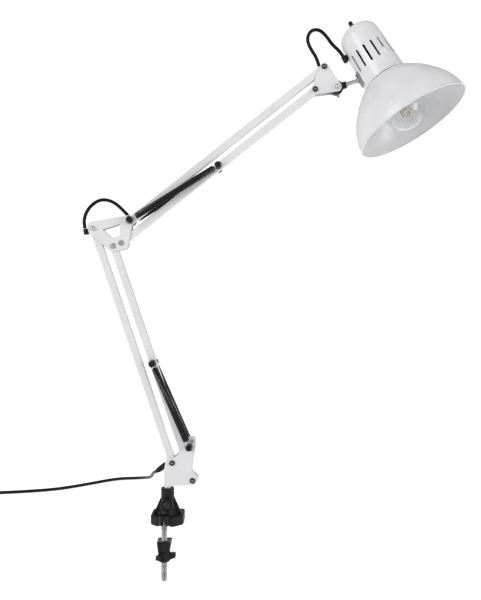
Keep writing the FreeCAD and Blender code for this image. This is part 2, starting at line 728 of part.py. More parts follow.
def yoke_bolt():
    """Carriage bolt of the head joint, long enough for the wing nut behind."""
    dome = acorn_bolt(PIVOT_R)
    return dome.fuse(across(PIVOT_R, BOLT_R, PLATE_OUT, PLATE_OUT + 11))


def head_wing_nut():
    """Steel wing nut behind the back plate."""
    start = PLATE_OUT + 0.3
    hub = Part.makeCone(4.6, 3.8, 5, at(PIVOT_R, start), Vec(0, 1, 0))
    wings = []
    for side in (-1, 1):
        corners = [
            (side * 2.5, 0.8, 0),
            (side * 10.5, 6.5, 1.5),
            (side * 10.2, 12.5, 1.8),
            (side * 5.5, 11.5, 1.5),
            (side * 2.5, 4.6, 0),
        ]
        if side < 0:
            corners = corners[::-1]
        face = rounded_face(corners, lambda p: Vec(p.x, start + p.y, -1.0))
        wings.append(face.extrude(Vec(0, 0, 2.0)))
    whole = wings[0].fuse(wings[1])
    whole.translate(Vec(PIVOT_R[0], 0, PIVOT_R[1]))
    whole.rotate(at(PIVOT_R), Vec(0, 1, 0), 52)
    whole = hub.fuse(whole)
    return whole.cut(across(PIVOT_R, RUNNING_R, 5, 25))


def stem_tube():
    """Chromed stem between the knuckle and the head's side bracket, with its collar."""
    tube = rod(YOKE_POINT + STEM_DIR * 5.6, STEM_END + STEM_DIR * -1.2, STEM_R)
    collar_start = YOKE_POINT + STEM_DIR * (YOKE_REACH + 0.3)
    collar = rod(collar_start, collar_start + STEM_DIR * 2.0, 4.6)
    return tube.fuse(collar).removeSplitter()


def cap_radius(height):
    """Outside radius of the cap's straight wall at a height."""
    return 30.4 - (height - CAP_BASE) * 2.4 / 68.5


def side_bracket():
    """Bent steel plate that ties the stem to the cap's side."""
    low, high = STEM_HEIGHT - 10.5, STEM_HEIGHT + 10.5
    near_low = cap_radius(low) + 0.1
    near_high = cap_radius(high) + 0.1
    inner = turned([(near_low, low), (near_low + 1.8, low), (near_high + 1.8, high), (near_high, high)])
    window = Part.makeBox(20, 11, 40, Vec(24, -5.5, STEM_HEIGHT - 20))
    boss = Part.makeCylinder(4.6, 3.4, Vec(cap_radius(STEM_HEIGHT) + 0.3, 0, STEM_HEIGHT), Vec(1, 0, 0))
    local = inner.common(window).fuse(boss)
    placed = in_head(local)
    return placed.cut(rod(STEM_END - STEM_DIR * 12, STEM_END - STEM_DIR * 1.2, STEM_R))


def bracket_screws():
    screws = []
    for height in (STEM_HEIGHT - 7.6, STEM_HEIGHT + 7.6):
        reach = cap_radius(height) + 1.95
        head = Part.makeCylinder(1.9, 1.3, Vec(reach, 0, height), Vec(1, 0, 0))
        cross = [
            Part.makeBox(1, 0.6, 3, Vec(reach + 0.8, -0.3, height - 1.5)),
            Part.makeBox(1, 3, 0.6, Vec(reach + 0.8, -1.5, height - 0.3)),
        ]
        screws.append(in_head(head.cut(cross)))
    return group(screws)


SHADE_NECK_R = 18.0
SHADE_TOP = 72.4


def shade():
    """Spun bell with a rolled lip; its outside and inside are the same three arcs, a wall apart."""

    def skin(inset):
        shoulder = (62.4 - 0.8 * inset, 42.4 - 0.6 * inset)
        return [
            flat_arc((RIM_R - inset, 0.8), (74.4 - inset, 21 - 0.4 * inset), shoulder),
            flat_arc(shoulder, (50.2 - 0.65 * inset, 57.6 - 0.8 * inset), (36.5, 69.6 - inset)),
            flat_arc((36.5, 69.6 - inset), (34.2, 71.6 - inset), (31.0, SHADE_TOP - inset)),
        ]

    outside = skin(0.0)
    inside = skin(SHADE_WALL)
    neck = [
        flat_line((31.0, SHADE_TOP), (SHADE_NECK_R, SHADE_TOP)),
        flat_line((SHADE_NECK_R, SHADE_TOP), (SHADE_NECK_R, SHADE_TOP - SHADE_WALL)),
        flat_line((SHADE_NECK_R, SHADE_TOP - SHADE_WALL), (31.0, SHADE_TOP - SHADE_WALL)),
    ]
    rim = [flat_line((RIM_R - SHADE_WALL, 0.8), (RIM_R, 0.8))]
    bell = turned_edges(outside + neck + inside[::-1] + rim)
    lip = Part.makeTorus(RIM_R - 0.6, 1.1, Vec(0, 0, 1.1), Vec(0, 0, 1))
    return in_head(bell.fuse(lip))


SLOT_COUNT = 16
SLOT_LENGTH = 27.0
SLOT_WIDTH = 2.8
SLOT_HEIGHT = 109.5


def cap_housing():
    """Vented cap over the lampholder, closed by a dome with a hole for the switch."""

    def skin(inset):
        return [
            flat_line((30.4 - inset, CAP_BASE), (28.0 - inset, 142.5)),
            flat_arc((28.0 - inset, 142.5), (23.8 - 0.8 * inset, 154.5 - 0.7 * inset), (13.0, 161.3 - inset)),
            flat_arc((13.0, 161.3 - inset), (9.6, 162.7 - inset), (6.1, CAP_TOP - inset)),
        ]

    outside = skin(0.0)
    inside = skin(1.4)
    top = [flat_line((6.1, CAP_TOP), (6.1, CAP_TOP - 1.4))]
    base = [flat_line((29.0, CAP_BASE), (30.4, CAP_BASE))]
    body = turned_edges(outside + top + inside[::-1] + base)
    cutters = []
    for index in range(1, SLOT_COUNT):
        half = SLOT_LENGTH / 2 - SLOT_WIDTH / 2
        box = Part.makeBox(20, SLOT_WIDTH, 2 * half, Vec(20, -SLOT_WIDTH / 2, SLOT_HEIGHT - half))
        ends = [Vec(20, 0, SLOT_HEIGHT - half), Vec(20, 0, SLOT_HEIGHT + half)]
        slot = box.fuse([Part.makeCylinder(SLOT_WIDTH / 2, 20, end, Vec(1, 0, 0)) for end in ends])
        slot.rotate(Vec(0, 0, 0), Vec(0, 0, 1), index * 360 / SLOT_COUNT)
        cutters.append(slot)
    gland_hole = Part.makeCylinder(2.9, 14, Vec(20, 0, HEAD_GLAND_HEIGHT), Vec(1, 0, 0))
    return in_head(body.cut(cutters + [gland_hole]))


def head_gland():
    """Black elbow on the cap's side: the lead comes down into it and turns through the wall."""
    reach = cap_radius(HEAD_GLAND_HEIGHT)
    body = Part.makeCylinder(3.4, HEAD_GLAND_TOP - 123.4, Vec(HEAD_GLAND_REACH, 0, 123.2), Vec(0, 0, 1))
    body = body.makeFillet(1.0, [e for e in body.Edges if e.Length > 15])
    flange = Part.makeCylinder(4.2, 1.4, Vec(reach + 0.35, 0, HEAD_GLAND_HEIGHT), Vec(1, 0, 0))
    tail = Part.makeCylinder(2.8, 8.0, Vec(reach - 3.6, 0, HEAD_GLAND_HEIGHT), Vec(1, 0, 0))
    return in_head(body.fuse([flange, tail]).removeSplitter())


def lampholder():
    """Moulded E27 holder inside the cap, its ring gripping the shade's neck."""
    outer = [(0, 75), (21, 75), (21, 82), (19.6, 84), (19.6, 110), (14, 116), (14, 128), (0, 128)]
    barrel = turned(outer)
    well = Part.makeCylinder(13.4, 30, Vec(0, 0, 72))
    return in_head(barrel.cut(well))


def shade_ring():
    """Threaded ring that holds the shade on the lampholder's neck, with the neck itself."""
    neck = turned([(13.6, 60.5), (17.6, 60.5), (17.6, 74.9), (13.6, 74.9)])
    flange = turned([(17.6, 66.4), (23, 66.4), (23, 71.1), (17.6, 71.1)])
    return in_head(neck.fuse(flange).removeSplitter())


def bulb_outline(inset):
    """Outline of the clear bulb from its crown to its neck."""
    radius = BULB_R - inset

    def on_globe(angle):
        turn = math.radians(angle)
        return (radius * math.cos(turn), BULB_CENTRE + radius * math.sin(turn))

    return [
        flat_arc((0, BULB_CENTRE - radius), on_globe(-45), on_globe(0)),
        flat_arc(on_globe(0), on_globe(19), on_globe(38)),
        flat_line(on_globe(38), (12.6 - inset, 62.0)),
        flat_line((12.6 - inset, 62.0), (12.6 - inset, 74.0)),
    ]


def bulb_glass():
    outside = bulb_outline(0.0)
    inside = bulb_outline(0.9)
    crown = [flat_line((0, BULB_CENTRE - BULB_R + 0.9), (0, BULB_CENTRE - BULB_R))]
    mouth = [flat_line((12.6, 74.0), (11.7, 74.0))]
    return in_head(turned_edges(outside + mouth + inside[::-1] + crown))


def bulb_cap():
    """Screw cap of the bulb, with rounded thread ridges."""
    skirt = [(0, 74.1), (12.7, 74.1), (12.7, 77), (12.2, 78), (12.2, 96)]
    base = turned(skirt + [(7, 99.5), (4.8, 101.6), (0, 101.6)])
    ridges = [Part.makeTorus(12.2, 0.9, Vec(0, 0, 80 + 3.6 * k), Vec(0, 0, 1)) for k in range(5)]
    return in_head(base.fuse(ridges))


def bulb_filaments():
    """Glass stem and four upright light strips inside the bulb."""
    parts = [turned([(0, 40), (2.2, 40), (3.6, 58), (10.5, 73.9), (0, 73.9)])]
    for turn in (45, 135, 225, 315):
        strip = rod(Vec(7.5, 0, 16), Vec(4.6, 0, 46), 0.9)
        wire = rod(Vec(4.6, 0, 46), Vec(2.4, 0, 52), 0.5)
        low_wire = rod(Vec(7.5, 0, 16), Vec(0.5, 0, 12.5), 0.4)
        strand = strip.fuse([wire, low_wire])
        strand.rotate(Vec(0, 0, 0), Vec(0, 0, 1), turn)
        parts.append(strand)
    spire = rod(Vec(0, 0, 11.6), Vec(0, 0, 41), 0.9)
    whole = parts[0].fuse(parts[1:] + [spire])
    return in_head(whole)


def switch_body():
    """Rotary switch under the dome, with its black collar outside."""
    seat = CAP_TOP + 0.2
    inside = turned([(0, 134), (10.5, 134), (10.5, 150), (5.9, 152), (5.9, seat), (0, seat)])
    collar = turned([(0, seat), (6.6, seat), (6.2, seat + 2.6), (5.2, seat + 3.4), (0, seat + 3.4)])
    shaft_hole = Part.makeCylinder(1.6, 30, Vec(0, 0, CAP_TOP - 8))
    return in_head(inside.fuse(collar).cut(shaft_hole))


def switch_knob():
    """Fluted knob on the switch's shaft."""
    low = CAP_TOP + 4.0
    knob = turned([(0, low), (3.1, low), (2.8, low + 6.6), (2.2, low + 7.4), (0, low + 7.4)])
    flutes = []
    for turn in range(0, 360, 45):
        flute = Part.makeCylinder(0.7, 9, Vec(3.3, 0, CAP_TOP + 4.6))
        flute.rotate(Vec(0, 0, 0), Vec(0, 0, 1), turn)
        flutes.append(flute)
    shaft = Part.makeCylinder(1.55, 10, Vec(0, 0, CAP_TOP - 5.5))
    return in_head(knob.cut(flutes).fuse(shaft))


# --- every sub-part, by node name -----------------------------------------------------------
def build():
    base_pivots = (PIVOT_1, PIVOT_2)
    head_pivots = (PIVOT_U, PIVOT_L)
    front = (-PLATE_OUT, -PLATE_IN)
    back = (PLATE_IN, PLATE_OUT)
    return {
        "clamp_body": clamp_body(),
        "clamp_pad": clamp_pad(),
        "clamp_rod": clamp_rod(),
        "socket_set_screw": socket_set_screw(),
        "socket_bush": socket_bush(),
        "lower_jaw": lower_jaw(),
        "jaw_pad": jaw_pad(),
        "clamp_wing_nut": clamp_wing_nut(),
        "base_plate_front": base_plate(*front),
        "base_plate_back": base_plate(*back),
        "base_spindle": base_spindle(),
        "base_pivot_bolts": base_bolts(base_pivots),
        "base_washers": washers(base_pivots),
        "base_spring_studs": spring_studs(SPRING_BASE),
        "lower_springs": spring_pair(SPRING_BASE, SPRING_LOW, LOWER_SLACK),
        "lower_spring_hooks": spring_hooks(SPRING_BASE, SPRING_LOW, LOWER_REACH),
        "cord_relief": cord_relief(),
        "lower_left_bar": lower_left_bar(),
        "lower_bar_lead": bar_lead(PIVOT_1, PIVOT_A),
        "elbow_gland": elbow_gland(),
        "lower_right_bar": arm_bar(
            PIVOT_2, PIVOT_C, [(PIVOT_2, RUNNING_R), (PIVOT_C, OPEN_R), (SPRING_LOW, BOLT_R)]
        ),
        "lower_spring_post": spring_pin(SPRING_LOW, BAR / 2),
        "elbow_plate_front": elbow_plate(*front),
        "elbow_plate_back": elbow_plate(*back),
        "elbow_acorn_bolt": group([acorn_bolt(PIVOT_A), pivot_nut(PIVOT_A)]),
        "elbow_rivets": elbow_rivets(),
        "elbow_spring_pin": spring_pin(PIVOT_K),
        "elbow_washers": washers((PIVOT_A, PIVOT_C, PIVOT_D, PIVOT_K)),
        "elbow_lead": elbow_lead(),
        "upper_springs": spring_pair(PIVOT_K, SPRING_HIGH, UPPER_SLACK),
        "upper_spring_hooks": spring_hooks(PIVOT_K, SPRING_HIGH, UPPER_REACH),
        "upper_top_bar": arm_bar(PIVOT_K, PIVOT_U, [(PIVOT_K, RUNNING_R), (PIVOT_U, RUNNING_R)]),
        "upper_bar_lead": bar_lead(PIVOT_K, PIVOT_U),
        "upper_bottom_bar": arm_bar(
            PIVOT_D, PIVOT_L, [(PIVOT_D, RUNNING_R), (PIVOT_L, OPEN_R), (SPRING_HIGH, BOLT_R)]
        ),
        "upper_spring_post": spring_pin(SPRING_HIGH, BAR / 2),
        "head_plate_front": head_plate(*front),
        "head_plate_back": head_plate(*back),
        "head_pivot_bolts": bolts_and_nuts(head_pivots),
        "head_washers": washers(head_pivots),
        "head_lead": head_lead(),
        "yoke_bolt": yoke_bolt(),
        "yoke_knuckle": yoke_knuckle(),
        "head_wing_nut": head_wing_nut(),
        "stem_tube": stem_tube(),
        "side_bracket": side_bracket(),
        "bracket_screws": bracket_screws(),
        "shade": shade(),
        "cap_housing": cap_housing(),
        "head_gland": head_gland(),
        "lampholder": lampholder(),
        "shade_ring": shade_ring(),
        "bulb_glass": bulb_glass(),
        "bulb_cap": bulb_cap(),
        "bulb_filaments": bulb_filaments(),
        "switch_body": switch_body(),
        "switch_knob": switch_knob(),
        "mains_cord_lead": mains_cord_lead(),
        "mains_cord": mains_cord(),
        "mains_coil": mains_coil(),
        "mains_plug": mains_plug(),
    }


os.makedirs("parts", exist_ok=True)
for node, shape in build().items():
    shape.exportStep(f"parts/{node}.step")
    state = "valid" if shape.isValid() else "NOT VALID"
    print(node, f"{shape.Volume / 1000:.2f} cm3", state, len(shape.Solids))
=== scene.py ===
import bpy
import json
import math
from mathutils import Matrix, Vector


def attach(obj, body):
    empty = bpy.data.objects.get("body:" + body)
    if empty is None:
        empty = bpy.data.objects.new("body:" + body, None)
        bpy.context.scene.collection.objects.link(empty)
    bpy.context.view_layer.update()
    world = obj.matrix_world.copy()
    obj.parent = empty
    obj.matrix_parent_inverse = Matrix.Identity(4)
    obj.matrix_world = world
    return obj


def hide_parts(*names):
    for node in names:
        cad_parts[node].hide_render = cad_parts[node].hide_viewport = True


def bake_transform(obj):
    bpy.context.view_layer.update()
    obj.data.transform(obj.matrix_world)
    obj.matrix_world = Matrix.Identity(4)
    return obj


# Looks of the swing arm desk lamp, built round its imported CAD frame. Metres, +Z up.
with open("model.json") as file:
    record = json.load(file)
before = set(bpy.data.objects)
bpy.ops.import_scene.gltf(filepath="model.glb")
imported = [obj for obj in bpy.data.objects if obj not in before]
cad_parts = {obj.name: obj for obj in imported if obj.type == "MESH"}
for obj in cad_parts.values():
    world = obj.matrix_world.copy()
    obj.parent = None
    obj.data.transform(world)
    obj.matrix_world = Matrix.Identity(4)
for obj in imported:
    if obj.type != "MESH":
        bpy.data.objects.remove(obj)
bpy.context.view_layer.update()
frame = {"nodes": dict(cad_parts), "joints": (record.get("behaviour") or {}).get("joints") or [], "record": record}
NODES = frame["nodes"]
PINS = {j["name"]: Vector(j["pos_m"]) for j in frame["joints"] if "pos_m" in j}
SLOT_OF = {s["node"]: s["material_slot"] for s in frame["record"]["subparts"]}

CORD_R = 0.0025                 # mains cord
LEAD_R = 0.00235                # leads at the elbow and the head
ROD_AXIS = (-0.0028, -0.017)    # clamp screw's axis: x, y


def mm(*values):
    return Vector(values) / 1000


# The head's own frame, as in the CAD model: z up its axis from the rim, x towards the stem.
HEAD_DOWN = math.radians(61.9)
HEAD_TURN = math.radians(11.1)
HEAD_Z = Vector((
    -math.cos(HEAD_DOWN) * math.cos(HEAD_TURN),
    math.sin(HEAD_TURN),
    math.sin(HEAD_DOWN) * math.cos(HEAD_TURN),
))
HEAD_X = Vector((-math.sin(HEAD_DOWN), 0, -math.cos(HEAD_DOWN)))
HEAD_Y = HEAD_Z.cross(HEAD_X)
RIM_CENTRE = mm(334.7, -15, 547.4)


def in_head(x, y, z):
    """A point of the head's own frame, given in millimetres."""
    return RIM_CENTRE + (HEAD_X * x + HEAD_Y * y + HEAD_Z * z) / 1000


# --- materials --------------------------------------------------------------------------------
def new_node(tree, kind, **settings):
    """New shader node; each setting is one of its own properties or the value of an input."""
    node = tree.nodes.new(kind)
    for key, value in settings.items():
        if hasattr(node, key):
            setattr(node, key, value)
        else:
            node.inputs[key].default_value = value
    return node


def colour_ramp(tree, factor, low, high):
    """Colour that runs from one (position, colour) to another as the factor rises."""
    ramp = new_node(tree, "ShaderNodeValToRGB")
    for element, (position, colour) in zip(ramp.color_ramp.elements, (low, high)):
        element.position = position
        element.color = (*colour, 1)
    tree.links.new(factor, ramp.inputs["Fac"])
    return ramp.outputs["Color"]


def map_range(tree, value, taken, given):
    """Value carried from one (low, high) range to another."""
    node = new_node(tree, "ShaderNodeMapRange")
    node.inputs["From Min"].default_value, node.inputs["From Max"].default_value = taken
    node.inputs["To Min"].default_value, node.inputs["To Max"].default_value = given
    tree.links.new(value, node.inputs["Value"])
    return node.outputs["Result"]


COAT_ROUGHNESS = 0.08
GRAIN_SHARE = 0.35          # how much the grain adds to the blotches in the tone
TONE_RANGE = (0.5, 0.85)    # sum of blotches and grain from the dark tone to the light one
GLOSS_RANGE = (0.3, 0.7)    # blotches from the smoothest roughness to the roughest


def surface(name, dark, light, rough, metal=0.0, grain=1500.0, depth=0.00002, blotch=40.0,
            edge=0.0004, coat=0.0, specular=0.5):
    """Procedural finish: two close tones in soft blotches, a fine grain and rounded edges.

    rough is the lowest and highest roughness, grain and blotch are scales of noise, depth is
    the height of the grain, and edge is the radius that corners seem to have.
    """
    made = bpy.data.materials.new(name)
    made.use_nodes = True
    tree = made.node_tree
    shader = tree.nodes["Principled BSDF"]
    shader.inputs["Metallic"].default_value = metal
    shader.inputs["Coat Weight"].default_value = coat
    shader.inputs["Coat Roughness"].default_value = COAT_ROUGHNESS
    shader.inputs["Specular IOR Level"].default_value = specular
    link = tree.links.new
    place = new_node(tree, "ShaderNodeTexCoord")
    soft = new_node(tree, "ShaderNodeTexNoise", Scale=blotch, Detail=3.0, Roughness=0.55)
    link(place.outputs["Object"], soft.inputs["Vector"])
    fine = new_node(tree, "ShaderNodeTexNoise", Scale=grain, Detail=2.0, Roughness=0.6)
    link(place.outputs["Object"], fine.inputs["Vector"])
    both = new_node(tree, "ShaderNodeMath", operation="MULTIPLY_ADD")
    both.inputs[1].default_value = GRAIN_SHARE
    link(fine.outputs["Fac"], both.inputs[0])
    link(soft.outputs["Fac"], both.inputs[2])
    tone = colour_ramp(tree, both.outputs[0], (TONE_RANGE[0], dark), (TONE_RANGE[1], light))
    link(tone, shader.inputs["Base Color"])
    link(map_range(tree, soft.outputs["Fac"], GLOSS_RANGE, rough), shader.inputs["Roughness"])
    bump = new_node(tree, "ShaderNodeBump", Strength=0.6, Distance=depth)
    link(fine.outputs["Fac"], bump.inputs["Height"])
    if edge > 0:
        bevel = new_node(tree, "ShaderNodeBevel", samples=4, Radius=edge)
        link(bevel.outputs["Normal"], bump.inputs["Normal"])
    link(bump.outputs["Normal"], shader.inputs["Normal"])
    return made


MATERIALS = {
    "black_plastic": surface("moulded_black", (0.005, 0.005, 0.0055), (0.012, 0.012, 0.013),
                             (0.36, 0.52), grain=2600, depth=0.00005, edge=0.0005, specular=0.28),
    "black_rubber": surface("rubber_black", (0.006, 0.006, 0.006), (0.013, 0.013, 0.013),
                            (0.5, 0.66), grain=3200, depth=0.00005, specular=0.25),
    "cord_black": surface("cord_pvc", (0.004, 0.004, 0.0045), (0.009, 0.009, 0.01),
                          (0.34, 0.5), grain=1800, edge=0, specular=0.14),
    "white_paint": surface("powder_white", (0.80, 0.80, 0.815), (0.85, 0.85, 0.865), (0.2, 0.28),
                           grain=500, depth=0.000008, blotch=30, edge=0.0005, coat=0.1),
    "zinc_steel": surface("zinc_plated", (0.34, 0.34, 0.35), (0.58, 0.58, 0.59), (0.24, 0.42),
                          metal=1.0, grain=1400, depth=0.00003, blotch=120),
    "chrome": surface("chromed", (0.58, 0.58, 0.6), (0.78, 0.78, 0.8), (0.06, 0.14),
                      metal=1.0, grain=700, depth=0.00001, blotch=90, edge=0.0003),
    "spring_black": surface("spring_wire", (0.006, 0.006, 0.0065), (0.016, 0.016, 0.018),
                            (0.3, 0.45), metal=0.1, grain=2500, edge=0, specular=0.35),
    "nylon": surface("nylon", (0.62, 0.62, 0.58), (0.72, 0.72, 0.69), (0.4, 0.55), grain=1800),
    "white_plastic": surface("white_moulding", (0.74, 0.74, 0.73), (0.82, 0.82, 0.81),
                             (0.28, 0.4), grain=2000),
    "brass": surface("plated_brass", (0.5, 0.4, 0.2), (0.72, 0.6, 0.34), (0.2, 0.35),
                     metal=1.0, blotch=150),
    "filament_amber": surface("light_strip", (0.75, 0.42, 0.1), (0.95, 0.62, 0.2), (0.4, 0.6),
                              grain=3500, depth=0.00005, blotch=900, edge=0),
}
DARK_STEEL = surface("blackened_steel", (0.035, 0.035, 0.037), (0.09, 0.09, 0.094), (0.28, 0.42),
                     metal=0.85, grain=1700, blotch=300, edge=0.0003)


def clear_glass():
    """Clear glass, faintly uneven in tone, gloss and surface."""
    made = bpy.data.materials.new("bulb_glass")
    made.use_nodes = True
    tree = made.node_tree
    shader = tree.nodes["Principled BSDF"]
    shader.inputs["Transmission Weight"].default_value = 1.0
    shader.inputs["IOR"].default_value = 1.45
    place = new_node(tree, "ShaderNodeTexCoord")
    noise = new_node(tree, "ShaderNodeTexNoise", Scale=35.0, Detail=1.5)
    tree.links.new(place.outputs["Object"], noise.inputs["Vector"])
    tone = colour_ramp(tree, noise.outputs["Fac"], (0, (0.93, 0.945, 0.95)), (1, (0.98, 0.985, 0.985)))
    tree.links.new(tone, shader.inputs["Base Color"])
    gloss = map_range(tree, noise.outputs["Fac"], (0, 1), (0, 0.03))
    tree.links.new(gloss, shader.inputs["Roughness"])
    bump = new_node(tree, "ShaderNodeBump", Strength=0.15, Distance=0.0002)
    tree.links.new(noise.outputs["Fac"], bump.inputs["Height"])
    tree.links.new(bump.outputs["Normal"], shader.inputs["Normal"])
    return made


MATERIALS["clear_glass"] = clear_glass()

for node_name, node_object in NODES.items():
    node_object.data.materials.clear()
    node_object.data.materials.append(MATERIALS[SLOT_OF[node_name]])


def paint_faces(node, material, wanted):
    """Gives the faces of a CAD node whose centre passes the test another finish."""
    mesh = NODES[node].data
    mesh.materials.append(material)
    for face in mesh.polygons:
        if wanted(face.center):
            face.material_index = 1


def ring_round(pivots, low, high):
    """Test for a point whose distance from one of the pivots, seen along Y, is in a range."""

    def wanted(point):
        reach = min(math.hypot(point.x - p[0], point.z - p[1]) for p in pivots)
        return low < reach < high

    return wanted


# Pivots' x and z. The nuts and bolt heads round them are dark, and the bolts' ends are bare.
BASE_PIVOTS = [(0.0068, 0.08385), (0.0347, 0.05975)]
HEAD_PIVOTS = [(0.21528, 0.62662), (0.20278, 0.59562)]
BOLT_END_R = 0.0017
NUT_R = 0.006
paint_faces("base_pivot_bolts", DARK_STEEL, ring_round(BASE_PIVOTS, BOLT_END_R, NUT_R))
paint_faces("head_pivot_bolts", DARK_STEEL, ring_round(HEAD_PIVOTS, BOLT_END_R, NUT_R))
for shiny in ("elbow_acorn_bolt", "yoke_bolt"):
    NODES[shiny].data.materials[0] = MATERIALS["chrome"]
NODES["socket_set_screw"].data.materials[0] = DARK_STEEL
PLUG_PINS_END = -0.3765
paint_faces("mains_plug", MATERIALS["brass"], lambda c: c.x < PLUG_PINS_END)
NUT_INSERT_R = 0.0058
paint_faces("clamp_wing_nut", MATERIALS["zinc_steel"],
            lambda c: math.hypot(c.x - ROD_AXIS[0], c.y - ROD_AXIS[1]) < NUT_INSERT_R)


# --- mesh helpers -------------------------------------------------------------------------------
def piece(name, verts, faces, slot, body=None, smooth=True):
    """New visible piece in a material slot's finish, riding on a body."""
    mesh = bpy.data.meshes.new(name)
    mesh.from_pydata([tuple(v) for v in verts], [], faces)
    mesh.validate()
    mesh.polygons.foreach_set("use_smooth", [smooth] * len(mesh.polygons))
    mesh.materials.append(MATERIALS[slot])
    made = bpy.data.objects.new(name, mesh)
    bpy.context.scene.collection.objects.link(made)
    if body:
        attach(made, body)
    return made


def sweep(points, radius, sides=10, closed=False):
    """Vertices and faces of a tube along points; radius is one number or one for each point."""
    count = len(points)
    radii = radius if isinstance(radius, list) else [radius] * count
    verts = []
    faces = []
    across = None
    for i, point in enumerate(points):
        if closed:
            along = points[(i + 1) % count] - points[i - 1]
        else:
            along = points[min(i + 1, count - 1)] - points[max(i - 1, 0)]
        along = along.normalized()
        if across is None:
            across = along.orthogonal().normalized()
        across = (across - along * across.dot(along)).normalized()
        other = along.cross(across)
        for k in range(sides):
            turn = 2 * math.pi * k / sides
            verts.append(point + (across * math.cos(turn) + other * math.sin(turn)) * radii[i])
    rows = count if closed else count - 1
    for i in range(rows):
        a = i * sides
        b = ((i + 1) % count) * sides
        for k in range(sides):
            n = (k + 1) % sides
            faces.append((a + k, a + n, b + n, b + k))
    if not closed:
        faces.append(tuple(range(sides - 1, -1, -1)))
        faces.append(tuple((count - 1) * sides + k for k in range(sides)))
    return verts, faces


def lathe(profile, origin, axis, sides=48):
    """Closed turned solid: profile points (radius, height) from one pole round to the other."""
    axis = axis.normalized()
    across = axis.orthogonal().normalized()
    other = axis.cross(across)
    verts = []
    faces = []
    for radius, height in profile:
        for k in range(sides):
            turn = 2 * math.pi * k / sides
            out = across * math.cos(turn) + other * math.sin(turn)
            verts.append(origin + axis * height + out * radius)
    rows = len(profile)
    for i in range(rows):
        a = i * sides
        b = ((i + 1) % rows) * sides
        for k in range(sides):
            n = (k + 1) % sides
            faces.append((a + k, a + n, b + n, b + k))
    return verts, faces


def spline_points(route, steps):
    """Points read from a NURBS line through the given control points."""
    curve = bpy.data.curves.new("route", "CURVE")
    curve.dimensions = "3D"
    line = curve.splines.new("NURBS")
    line.points.add(len(route) - 1)
    for point, place in zip(line.points, route):
        point.co = (*place, 1)
    line.order_u = 3
    line.use_endpoint_u = True
    line.resolution_u = steps
    carrier = bpy.data.objects.new("route", curve)
    bpy.context.scene.collection.objects.link(carrier)
    seen = carrier.evaluated_get(bpy.context.evaluated_depsgraph_get())
    mesh = bpy.data.meshes.new_from_object(seen)
    points = [v.co.copy() for v in mesh.vertices]
    bpy.data.objects.remove(carrier)
    bpy.data.curves.remove(curve)
    bpy.data.meshes.remove(mesh)
    return points


# --- camera: level, 0.9 m in front of the arms ------------------------------------------------
CAMERA_PLACE = mm(100.46, -900, 307.05)
LENS = 39.13
camera_data = bpy.data.cameras.new("camera")
camera_data.sensor_width = 36
camera_data.lens = LENS
camera_data.clip_start = 0.05
camera = bpy.data.objects.new("camera", camera_data)
camera.location = CAMERA_PLACE
camera.rotation_euler = (math.radians(90), 0, 0)
bpy.context.scene.collection.objects.link(camera)
bpy.context.scene.camera = camera

# --- mains cord ------------------------------------------------------------------------------
CORD_ROUTE = [
    mm(-15.5, 14.0, 68.0),
    mm(-21.0, 28.0, 62.5),
    mm(-27.0, 54.0, 54.5),
    mm(-35.5, 98.0, 37.5),
    mm(-44.5, 142.0, 24.0),
    mm(-56.0, 182.0, 12.5),
    mm(-76.0, 208.0, 4.5),
    mm(-110.0, 212.0, 2.6),
    mm(-148.0, 182.0, 2.6),
    mm(-190.0, 152.0, 2.6),
    mm(-230.0, 139.5, 2.6),
    mm(-283.0, 129.5, 2.6),
    mm(-336.0, 128.0, 2.6),
]
COIL_CENTRE = mm(-340, 165, 0)
COIL_OUTER = 37.4               # radius of the cord's line on the outermost turn, mm
COIL_INNER = 22.0
COIL_LEVELS = (2.6, 7.7, 12.7)  # heights of the cord's line in the three layers, mm
COIL_START = math.radians(-84)
LAYER_TURNS = 3
STEPS = 16                      # control points in each turn
CLIMB_STEPS = 3                 # control points from one layer up to the next
ROUND_UP = 1 / (0.75 + 0.25 * math.cos(2 * math.pi / STEPS))   # line cuts inside its control points
WANDER = 0.12                   # how far the turns lie from true circles, mm
WANDER_RATE = 1.7


def coil_points():
    """Turns wound inwards on the desk, outwards over them, and once more round the outside."""
    points = []
    total = 2 * LAYER_TURNS * STEPS + 3 * STEPS // 4
    for k in range(1, total + 1):
        layer, on = divmod(k - 1, LAYER_TURNS * STEPS)
        share = (on + 1) / (LAYER_TURNS * STEPS)
        if layer == 0:
            radius = COIL_OUTER + (COIL_INNER - COIL_OUTER) * share
        elif layer == 1:
            radius = COIL_INNER + (COIL_OUTER - COIL_INNER) * share
        else:
            radius = COIL_OUTER
        height = COIL_LEVELS[layer]
        if layer and on < CLIMB_STEPS:
            below = COIL_LEVELS[layer - 1]
            height = below + (height - below) * (on + 0.5) / CLIMB_STEPS
        turn = COIL_START - 2 * math.pi * k / STEPS
        reach = (radius + WANDER * math.sin(WANDER_RATE * k)) * ROUND_UP
        points.append(COIL_CENTRE + mm(reach * math.cos(turn), reach * math.sin(turn), height))
    return points


TO_PLUG = [
    mm(-303.5, 152, 15.4),
    mm(-311, 142.5, 18.6),
    mm(-320, 140.2, 21.0),
    mm(-328, 140, 21.5),
]
CORD_SIDES = 14
cord_line = CORD_ROUTE + coil_points() + TO_PLUG
cord_points = spline_points(cord_line, 6)
cord = piece("mains_cord_tube", *sweep(cord_points, CORD_R, CORD_SIDES), "cord_black")
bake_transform(cord)
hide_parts("mains_cord", "mains_cord_lead", "mains_coil")


